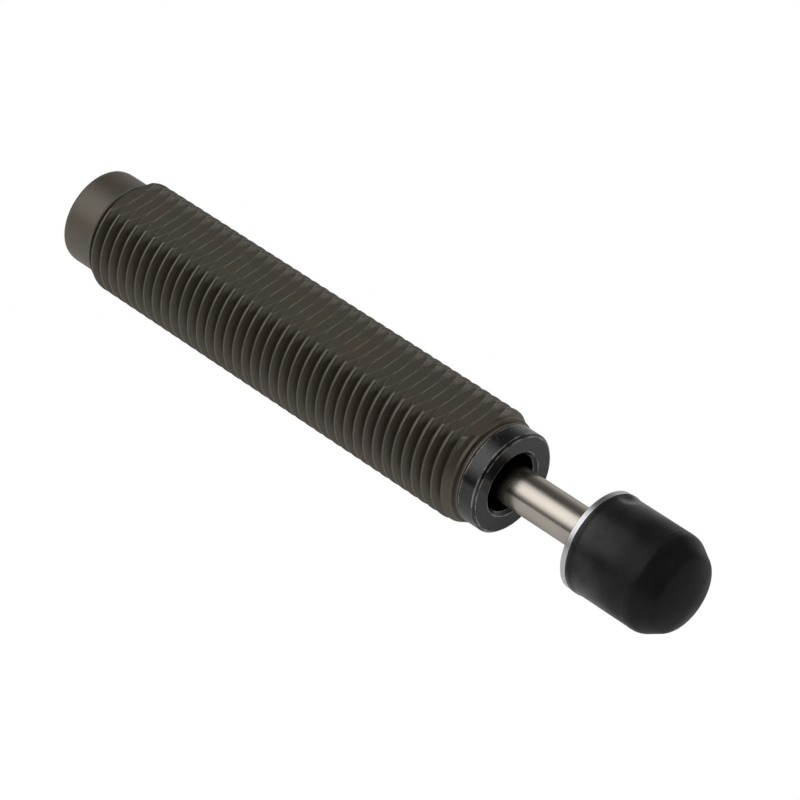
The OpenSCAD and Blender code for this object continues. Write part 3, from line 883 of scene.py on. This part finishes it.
@dataclass(frozen=True)
class Winding:
    """Sizes of one section wound about the axis, in millimetres.

    The end pitch holds for the first and the last turn. Over the run-out, in turns, the section
    rises away from the axis by the lift.
    """

    turns: float
    steps: int
    start: float
    pitch: float
    end_pitch: float
    run_out: float = 0.0
    lift: float = 0.0

    def wound(self, name: str, section: Outline, tree: NodeTree) -> Piece:
        """Winds the section.

        Args:
            name: Name of the new piece.
            section: (station offset, radius) points in millimetres, in order round the section.
            tree: The winding's geometry node group.

        Returns:
            The closed solid.
        """
        mesh = bpy.data.meshes.new(name)
        mesh.from_pydata([(station * MM, radius * MM, 0) for station, radius in section], [], [])
        source = add_object(f"{name}_section", mesh)
        modifier = source.modifiers.new("winding", "NODES")
        modifier.node_group = tree
        sizes = {
            "Section Points": len(section),
            "Turns": self.turns,
            "Steps per Turn": self.steps,
            "Start": self.start * MM,
            "Pitch": self.pitch * MM,
            "End Pitch": self.end_pitch * MM,
            "Run-out": self.run_out,
            "Lift": self.lift * MM,
        }
        for socket in tree.interface.items_tree:
            if socket.name in sizes:
                modifier[socket.identifier] = sizes[socket.name]
        made = applied(source, name)
        build = bmesh.new()
        build.from_mesh(made.data)
        ended(build, made.data)
        return made


def eased(outline: Outline, sizes: tuple[float, ...]) -> Outline:
    """Rounds the first corners of a closed outline.

    Args:
        outline: (station, radius) points in order.
        sizes: Length of edge that each rounding takes up, for the outline's first corners.

    Returns:
        The outline with its corners rounded.
    """
    made = []
    for i, size in enumerate(sizes):
        here = Vector(outline[i])
        before = Vector(outline[i - 1]) - here
        after = Vector(outline[i + 1]) - here
        first = here + before.normalized() * size
        last = here + after.normalized() * size
        for t in (0, 1 / 3, 2 / 3, 1):
            point = first * (1 - t) ** 2 + here * 2 * t * (1 - t) + last * t**2
            made.append((point.x, point.y))
    return [*made, *outline[len(sizes) :]]


def in_metres(outline: Outline) -> Outline:
    """Takes an outline in millimetres to metres."""
    return [(station * MM, radius * MM) for station, radius in outline]


# ---- The sub-assemblies ----


@dataclass
class Casing:
    """The body with its real thread, the stop collar, and the plug and ball of the fill port."""

    thread_radius: float = 7.0
    root_radius: float = 6.09
    root_round: float = 0.15
    crest_flat: float = 0.22
    pitch: float = 1.5
    first_groove: float = -65.18
    groove_turns: float = 41.13
    run_out: float = 0.12
    spigot_radius: float = 5.95
    spigot_length: float = 4.65
    rear_edge: float = 0.35
    taper_length: float = 0.8
    land_radius: float = 6.42
    land_length: float = 0.4
    neck_radius: float = 6.0
    lip_radius: float = 6.14
    lip_back: float = 0.36
    lip_front: float = 0.14
    lip_rise: float = 0.06
    nose_length: float = 1.2
    bore_edge: float = 0.2
    clearance: float = 0.12
    bore_radius: float = 5.0
    rear_wall: float = 5.5
    port_radius: float = 2.02
    pilot_radius: float = 0.495
    pilot_length: float = 1.1
    collar_radius: float = 6.1
    collar_edge: float = 0.3
    collar_bore: float = 3.95
    collar_step: float = 0.4
    plug_radius: float = 2.0
    plug_edge: float = 0.3
    steps: int = 96

    def blank(self) -> Piece:
        """Turns the body before its thread and its flats are cut."""
        low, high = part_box("outer_body")
        rear, nose = low.x / MM, high.x / MM
        shoulder = rear + self.spigot_length
        bore_end = rear + self.rear_wall
        pilot_back = bore_end - self.pilot_length
        land = nose - self.nose_length
        lip_back, lip_front = nose - self.lip_back, nose - self.lip_front
        outline = [
            (rear, self.port_radius),
            (rear, self.spigot_radius - self.rear_edge / 3),
            (rear + self.rear_edge, self.spigot_radius),
            (shoulder, self.spigot_radius),
            (shoulder + self.thread_radius - self.spigot_radius, self.thread_radius),
            (land - self.taper_length, self.thread_radius),
            (land, self.land_radius),
            (land + self.land_length, self.land_radius - 0.03),
            (land + self.land_length + 0.1, self.neck_radius),
            (lip_back - self.lip_rise, self.neck_radius),
            (lip_back, self.lip_radius),
            (lip_front, self.lip_radius),
            (lip_front + self.lip_rise, self.neck_radius),
            (nose, self.neck_radius),
            (nose, self.bore_radius + self.bore_edge),
            (nose - self.bore_edge, self.bore_radius),
            (bore_end, self.bore_radius),
            (bore_end, self.pilot_radius),
            (pilot_back, self.pilot_radius),
            (pilot_back - (self.port_radius - self.pilot_radius), self.port_radius),
        ]
        soft = (0.06, 0.1, 0.3, 0.3, 0.1, 0.35, 0.08, 0.07, 0.08, 0.06, 0.04, 0.06, 0.03)
        return turned("threaded_body", in_metres(eased(outline, soft)), self.steps)

    def groove(self, winding: NodeTree) -> Piece:
        """Winds the solid that cuts the thread's groove: a 60 degree section with a rounded root."""
        lean = math.tan(math.radians(30))
        half_width = (self.pitch - self.crest_flat) / 2 + self.clearance * lean
        top = self.thread_radius + self.clearance
        root = arc((0, self.root_radius + self.root_round), self.root_round, 210, 330, 8)
        section = [(-half_width, top), *root, (half_width, top)]
        lift = top - self.root_radius
        sizes = Winding(
            self.groove_turns, self.steps, self.first_groove, self.pitch, self.pitch, self.run_out, lift
        )
        return sizes.wound("thread_groove", section, winding)

    def flats(self) -> list[Piece]:
        """Makes the two blocks that cut the wrench flats."""
        low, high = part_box("outer_body")
        reach = 2 * self.thread_radius * MM
        spans = {"upper_flat_cut": (high.z, reach), "lower_flat_cut": (-reach, low.z)}
        return [
            block(name, Vector((low.x - reach, -reach, under)), Vector((high.x + reach, reach, over)))
            for name, (under, over) in spans.items()
        ]

    def body(self, winding: NodeTree) -> Piece:
        """Makes the threaded body in the place of the plain packed one."""
        piece = smoothed(carved(self.blank(), [self.groove(winding), *self.flats()]), 25)
        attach(piece, "body")
        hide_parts("outer_body")
        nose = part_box("outer_body")[1].x / MM
        lip = nose - (self.lip_back + self.lip_front) / 2
        # The lip and the bore edge get pale lines: edge wear, and painted highlight in place of rounded
        # edges.
        rims = ((lip, self.lip_radius), (nose, self.bore_radius + self.bore_edge))
        return dressed(piece, PhosphatedThread(rims=rims))

    def build(self, winding: NodeTree) -> list[Piece]:
        """Builds and dresses the casing's pieces."""
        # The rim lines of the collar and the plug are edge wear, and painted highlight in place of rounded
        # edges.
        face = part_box("stop_collar")[1].x / MM
        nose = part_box("outer_body")[1].x / MM
        collar_rims = (
            (face, self.collar_radius - self.collar_edge),
            (face - self.collar_edge, self.collar_radius),
            (face, self.collar_bore),
            (face - self.collar_step, self.collar_bore - self.collar_step),
            (nose, self.collar_radius),
        )
        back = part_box("fill_plug")[0].x / MM
        plug_rims = ((back, self.plug_radius - self.plug_edge), (back + self.plug_edge, self.plug_radius))
        finishes = {
            "stop_collar": OxideSteel((0.01, 0.01, 0.011), 0.2, collar_rims),
            "fill_plug": OxideSteel((0.03, 0.03, 0.032), 0.32, plug_rims),
            "seal_ball": MachinedMetal((0.62, 0.62, 0.63), 0.12, marks=0.0002),
        }
        return [self.body(winding), *dressed_nodes(finishes)]


@dataclass
class Seal:
    """The rolling diaphragm with its sleeve and the ring that crimps it on the rod.

    The skin is split at its roll, which on the real part travels half as far as the rod: the outer leg runs
    back from the roll to its clamped bead, and the inner leg runs back from it to the crimp on the rod.
    """

    skin: float = 0.3
    outer_radius: float = 3.5
    inner_radius: float = 2.45
    bead_length: float = 0.8
    leg_length: float = 2.2
    crimp_length: float = 1.18
    crimp_radius: float = 2.9
    groove_radius: float = 2.12
    steps: int = 72

    def skins(self) -> list[Piece]:
        """Makes the diaphragm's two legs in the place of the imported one."""
        low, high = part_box("rolling_diaphragm")
        back, roll, bead = low.x / MM, high.x / MM, high.y / MM
        fold = (self.outer_radius - self.inner_radius) / 2
        middle = (roll - fold, (self.outer_radius + self.inner_radius) / 2)
        front, bead_front = roll - self.leg_length, back + self.bead_length
        inside = self.outer_radius - self.skin
        outer = [
            (back, bead),
            (bead_front, bead),
            (bead_front, self.outer_radius + 0.4),
            (bead_front + 0.4, self.outer_radius),
            *arc(middle, fold, 90, 0, 6),
            *arc(middle, fold - self.skin, 0, 90, 6),
            (back, inside),
        ]
        inner = [
            *arc(middle, fold, 0, -90, 6),
            (front, self.inner_radius),
            (front, self.groove_radius),
            (front - self.crimp_length, self.groove_radius),
            (front - self.crimp_length, self.crimp_radius),
            (front, self.crimp_radius),
            (front, self.inner_radius + self.skin),
            *arc(middle, fold - self.skin, -90, 0, 6),
        ]
        legs = []
        for name, outline in (("diaphragm_outer_leg", outer), ("diaphragm_inner_leg", inner)):
            leg = smoothed(turned(name, in_metres(outline), self.steps), 40)
            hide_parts("rolling_diaphragm")
            legs.append(dressed(leg, MouldedElastomer(roughness=0.5)))
        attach(legs[0], "body")
        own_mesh(legs[0])
        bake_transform(legs[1])
        return legs

    def build(self) -> list[Piece]:
        """Builds and dresses the seal's pieces."""
        finishes = {
            "diaphragm_sleeve": MachinedMetal((0.5, 0.5, 0.51), 0.3),
            "diaphragm_crimp": MachinedMetal((0.58, 0.58, 0.6), 0.25),
        }
        return [*self.skins(), *dressed_nodes(finishes)]


@dataclass
class Bearing:
    """The main bearing with its bronze bush and its seal ring."""

    def build(self) -> list[Piece]:
        """Dresses the bearing's pieces."""
        bronze = MachinedMetal((0.5, 0.31, 0.15), 0.38, variation=0.2, wear=(0.75, 0.55, 0.32))
        finishes = {
            "main_bearing": MachinedMetal((0.46, 0.45, 0.43), 0.34),
            "guide_bush": bronze,
            "bearing_seal": MouldedElastomer(roughness=0.38),
        }
        return dressed_nodes(finishes)


@dataclass
class Damper:
    """The pressure chamber, its base, the piston with its plate, and the return spring."""

    spring_turns: int = 12
    wire: float = 0.5
    coil: float = 5.5
    closed_pitch: float = 0.53

    def spring(self, winding: NodeTree) -> Piece:
        """Winds the return spring with its closed ends."""
        low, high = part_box("return_spring")
        start = low.x / MM + self.wire / 2
        length = (high.x - low.x) / MM - self.wire
        pitch = (length - 2 * self.closed_pitch) / (self.spring_turns - 2)
        section = arc((0, self.coil / 2), self.wire / 2, 0, 360 - 360 / 14, 13)
        sizes = Winding(self.spring_turns, 36, start, pitch, self.closed_pitch)
        piece = smoothed(sizes.wound("return_spring_coil", section, winding), 50)
        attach(piece, "body")
        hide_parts("return_spring")
        finish = MachinedMetal((0.58, 0.58, 0.6), 0.18, feed=0.3, marks=0.0003)
        dressed(piece, finish)
        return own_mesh(piece)

    def build(self, winding: NodeTree) -> list[Piece]:
        """Builds and dresses the damper's pieces."""
        ring = MouldedElastomer((0.05, 0.05, 0.05), (0.09, 0.09, 0.09), 0.45)
        finishes = {
            "pressure_chamber": MachinedMetal((0.42, 0.42, 0.43), 0.26),
            "chamber_base": MachinedMetal((0.42, 0.42, 0.43), 0.34),
            "piston": MachinedMetal((0.52, 0.49, 0.42), 0.3, feed=0.06),
            "piston_ring": ring,
            "piston_nut": MachinedMetal((0.48, 0.48, 0.49), 0.3),
            "check_plate": MachinedMetal((0.62, 0.62, 0.63), 0.2),
            "spring_seat": MachinedMetal((0.46, 0.46, 0.47), 0.3),
        }
        return [*dressed_nodes(finishes), self.spring(winding)]


@dataclass
class Striker:
    """The rod with its button and the moulded cap."""

    cap_radius: float = 5.95
    straight_length: float = 8.5
    bevel_slope: float = 30.0
    bevel_round: float = 2.1
    nose_round: float = 1.6
    dome_radius: float = 9.1
    lip_radius: float = 6.05
    lip_length: float = 0.9
    neck_radius: float = 2.92
    neck_length: float = 1.38
    head_radius: float = 3.62
    head_length: float = 5.62
    head_crown: float = 0.8
    parting_line: float = 8.2
    parting_height: float = 0.02
    lip_tilt: float = 0.3
    tilt_length: float = 2.5
    tilt_fade: float = 1.5
    dent_depth: float = 0.3
    dent_station: float = 1.2
    dent_length: float = 1.1
    dent_angle: float = -27.0
    dent_spread: float = 16.0
    button_radius: float = 6.0
    button_length: float = 0.8
    button_edge: float = 0.12
    steps: int = 160

    def outline(self, back: float, nose: float) -> Outline:
        """Gives the cap's section, from the end of its socket round to the middle of its dome.

        Args:
            back: Station of the cap's rear face, in millimetres.
            nose: Station of the middle of the dome, in millimetres.

        Returns:
            (station, radius) points in millimetres.
        """
        slope = math.radians(self.bevel_slope)
        bevel = back + self.straight_length
        dome = nose - self.dome_radius
        side = (self.cap_radius - self.bevel_round) * math.cos(slope)
        reach = side + (bevel - dome) * math.sin(slope) + self.bevel_round - self.nose_round
        inner = self.dome_radius - self.nose_round
        dome_angle = slope + math.acos(reach / inner)
        round_at = (dome + inner * math.sin(dome_angle), inner * math.cos(dome_angle))
        dome_degrees = math.degrees(dome_angle)
        crown = self.head_crown
        head_end = back + self.head_length
        neck_end = back + self.neck_length
        ridge = back + self.parting_line
        lip_end = back + self.lip_length
        wall = [lip_end + (ridge - 0.08 - lip_end) * k / 24 for k in range(25)]
        return [
            (head_end, 0),
            *arc((head_end - crown, self.head_radius - crown), crown, 0, 90, 6),
            (neck_end + self.head_radius - self.neck_radius, self.head_radius),
            (neck_end, self.neck_radius),
            (back, self.neck_radius),
            (back, self.lip_radius - 0.12),
            (back + 0.035, self.lip_radius - 0.035),
            (back + 0.12, self.lip_radius),
            (back + self.lip_length * 0.35, self.lip_radius),
            (back + self.lip_length * 0.6, self.lip_radius - 0.005),
            (back + self.lip_length * 0.82, self.lip_radius - 0.07),
            *[(station, self.cap_radius) for station in wall],
            (ridge, self.cap_radius + self.parting_height),
            (ridge + 0.08, self.cap_radius),
            *arc((bevel, self.cap_radius - self.bevel_round), self.bevel_round, 90, 90 - self.bevel_slope, 8),
            *arc(round_at, self.nose_round, 90 - self.bevel_slope, 90 - dome_degrees, 8)[1:],
            *arc((dome, 0), self.dome_radius, 90 - dome_degrees, 0, 14)[1:-1],
            (nose, 0),
        ]

    def settle(self, piece: Piece, back: float) -> None:
        """Tilts the lip a little and presses a shallow dent behind it, as handling has.

        Args:
            piece: The cap.
            back: Station of the cap's rear face, in millimetres.
        """
        for vert in piece.data.vertices:
            station, radius = vert.co.x / MM - back, math.hypot(vert.co.y, vert.co.z) / MM
            if radius < self.cap_radius - 0.1:
                continue
            angle = math.degrees(math.atan2(-vert.co.y, vert.co.z))
            if 0.2 < station < self.tilt_length:
                fade = min(1, (self.tilt_length - station) / self.tilt_fade)
                vert.co.x -= self.lip_tilt * fade * math.cos(math.radians(angle)) * MM
            along = (station - self.dent_station) / self.dent_length
            far = math.hypot(along, (angle - self.dent_angle) / self.dent_spread)
            if far < 1:
                share = 1 - self.dent_depth * (1 - far**2) ** 2 / radius
                vert.co.y *= share
                vert.co.z *= share

    def cap(self) -> Piece:
        """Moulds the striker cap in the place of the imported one."""
        low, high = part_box("striker_cap")
        back = low.x / MM
        piece = turned("striker_cap_moulding", in_metres(self.outline(back, high.x / MM)), self.steps)
        self.settle(piece, back)
        smoothed(piece, 40)
        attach(piece, "rod")
        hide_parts("striker_cap")
        return dressed(piece, self.finish(back))

    @staticmethod
    def finish(back: float) -> MouldedElastomer:
        """Gives the cap's finish, with a polish round its rear end."""
        tint, smear = (0.024, 0.024, 0.024), (0.05, 0.05, 0.051)
        polished = (back + 2.5, back + 7.0)
        return MouldedElastomer(tint, smear, 0.3, waves=0.3, ior=1.22, polished=polished)

    def build(self) -> list[Piece]:
        """Builds and dresses the striker's pieces."""
        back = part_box("rod_button")[0].x / MM
        front, edge, radius = back + self.button_length, self.button_edge, self.button_radius
        # The button's rim lines are edge wear, and painted highlight in place of rounded edges.
        rims = ((back, radius - edge), (back + edge, radius), (front - edge, radius), (front, radius - edge))
        # The rod is darkened from 2.5 mm down to 0.2 mm from the stop face, where it runs into the collar:
        # painted shade.
        drawn = {"feed": 0.05, "marks": 0.002, "streaks": 0.012, "painted_shade_span": (0.2, 2.5)}
        rod = MachinedMetal((0.61, 0.56, 0.49), 0.22, edge=(0.8, 0.79, 0.78), **drawn)
        button = MachinedMetal((0.74, 0.74, 0.75), 0.33, rims=rims, wear=(0.9, 0.9, 0.91))
        return [self.cap(), *dressed_nodes({"piston_rod": rod, "rod_button": button})]


# ---- Studio ----


@dataclass
class Studio:
    """The pale floor, the soft light and the camera."""

    azimuth: float = 45.378
    elevation: float = 39.947
    aim_station: float = -28.63
    distance: float = 432.533
    shift_right: float = 7.9065
    shift_up: float = -3.967
    lens: float = 173.569
    softbox_radiance: float = 1.25
    softbox_width: float = 1.9
    softbox_depth: float = 1.5
    softbox_distance: float = 1.0
    softbox_way: tuple[float, float, float] = (-0.546, -0.435, 0.716)
    floor_reach: float = 3.0
    floor_grey: float = 0.8
    floor_glow: float = 0.25
    wall_light: float = 0.5
    wall_height: float = 0.65
    wall_base: float = 0.05
    room_light: float = 0.045

    def toward_camera(self) -> Vector:
        """Gives the direction from the object to the camera."""
        turn, rise = math.radians(self.azimuth), math.radians(self.elevation)
        return Vector((math.sin(turn) * math.cos(rise), -math.cos(turn) * math.cos(rise), math.sin(rise)))

    def camera(self) -> Piece:
        """Sets the camera."""
        back = self.toward_camera()
        right = (-back).cross(Vector((0, 0, 1))).normalized()
        up = right.cross(-back)
        place = Vector((self.aim_station, 0, 0)) + back * self.distance
        place += right * self.shift_right + up * self.shift_up
        data = bpy.data.cameras.new("camera")
        data.lens = self.lens
        data.sensor_width = 36
        data.clip_start = 0.01
        made = add_object("camera", data)
        made.location = place * MM
        made.rotation_euler = (-back).to_track_quat("-Z", "Y").to_euler()
        bpy.context.scene.camera = made
        return made

    def softbox(self) -> Piece:
        """Hangs the large soft light over the rear of the body, a little to the camera's side."""
        data = bpy.data.lights.new("softbox", "AREA")
        data.shape = "RECTANGLE"
        data.size = self.softbox_width
        data.size_y = self.softbox_depth
        data.energy = self.softbox_radiance * math.pi * self.softbox_width * self.softbox_depth
        data.use_nodes = True
        tree = Tree(data.node_tree)
        place = tree.parts(tree.add("ShaderNodeNewGeometry").outputs["Parametric"])
        across = tree.ramp(tree.apart(place[0], 0.5), 0.5, 0.06)
        along = tree.ramp(tree.apart(place[1], 0.5), 0.5, 0.3)
        tree.feed(data.node_tree.nodes["Emission"].inputs["Strength"], tree.times(across, along))
        toward = Vector(self.softbox_way).normalized()
        side = Vector((1, 0, 0)).cross(toward).normalized()
        made = add_object("softbox", data)
        made.location = Vector((self.aim_station * MM, 0, 0)) + toward * self.softbox_distance
        made.rotation_euler = Matrix((side, toward.cross(side), toward)).transposed().to_euler()
        return made

    def floor(self) -> Piece:
        """Lays the pale floor under the body. It glows a little, and the camera sees it as white."""
        reach, top = self.floor_reach, CAD_BOX[0].z - 0.00002
        piece = block("floor", Vector((-reach, -reach, top - 0.002)), Vector((reach, reach, top)))
        material = bpy.data.materials.new("floor_paper")
        material.use_nodes = True
        tree = Tree(material.node_tree)
        shader = material.node_tree.nodes["Principled BSDF"]
        even = {"Base Color": (self.floor_grey, self.floor_grey, self.floor_grey, 1), "Roughness": 0.8}
        for label, value in {**even, "Emission Color": WHITE, "Emission Strength": self.floor_glow}.items():
            tree.feed(shader.inputs[label], value)
        seen = tree.add("ShaderNodeEmission", {"Color": WHITE, "Strength": 1.0})
        lit = tree.add("ShaderNodeLightPath").outputs["Is Camera Ray"]
        both = tree.add("ShaderNodeMixShader", {0: lit, 1: shader.outputs[0], 2: seen.outputs[0]})
        tree.feed(material.node_tree.nodes["Material Output"].inputs["Surface"], both.outputs[0])
        piece.data.materials.append(material)
        return piece

    def world(self) -> bpy.types.World:
        """Wraps the studio round: white to the camera, dim walls with a bright far side to the pieces."""
        world = bpy.data.worlds.new("studio")
        world.use_nodes = True
        bpy.context.scene.world = world
        tree = Tree(world.node_tree)
        background = world.node_tree.nodes["Background"]
        parts = tree.parts(tree.place("Generated"))
        far = tree.ramp(parts[1], -0.3, 0.5)
        low = tree.falling(tree.larger(parts[2], 0.0), self.wall_height)
        wall = tree.plus(tree.times(tree.maths("POWER", low, 1.4), self.wall_light), self.wall_base)
        glow = tree.plus(tree.times(far, wall), self.room_light)
        camera = tree.add("ShaderNodeLightPath").outputs["Is Camera Ray"]
        grey = tree.add("ShaderNodeCombineXYZ", {0: glow, 1: glow, 2: glow}).outputs[0]
        tree.feed(background.inputs["Color"], tree.mix(camera, grey, WHITE))
        return world

    def build(self) -> None:
        """Sets up the whole studio."""
        self.camera()
        self.softbox()
        self.floor()
        self.world()
        bpy.context.scene.view_settings.view_transform = "Standard"


def main() -> None:
    """Builds the sub-assemblies in order, reports their pieces and sets up the studio."""
    logging.basicConfig(level=logging.INFO, format="%(name)s: %(message)s")
    Studio().build()
    winding = build_winding()
    built = {
        "casing": Casing().build(winding),
        "seal": Seal().build(),
        "bearing": Bearing().build(),
        "damper": Damper().build(winding),
        "striker": Striker().build(),
    }
    for assembly, pieces in built.items():
        for piece in pieces:
            log.info("%s: %s, %d faces", assembly, piece.name, len(piece.data.polygons))


if __name__ == "__main__":
    main()
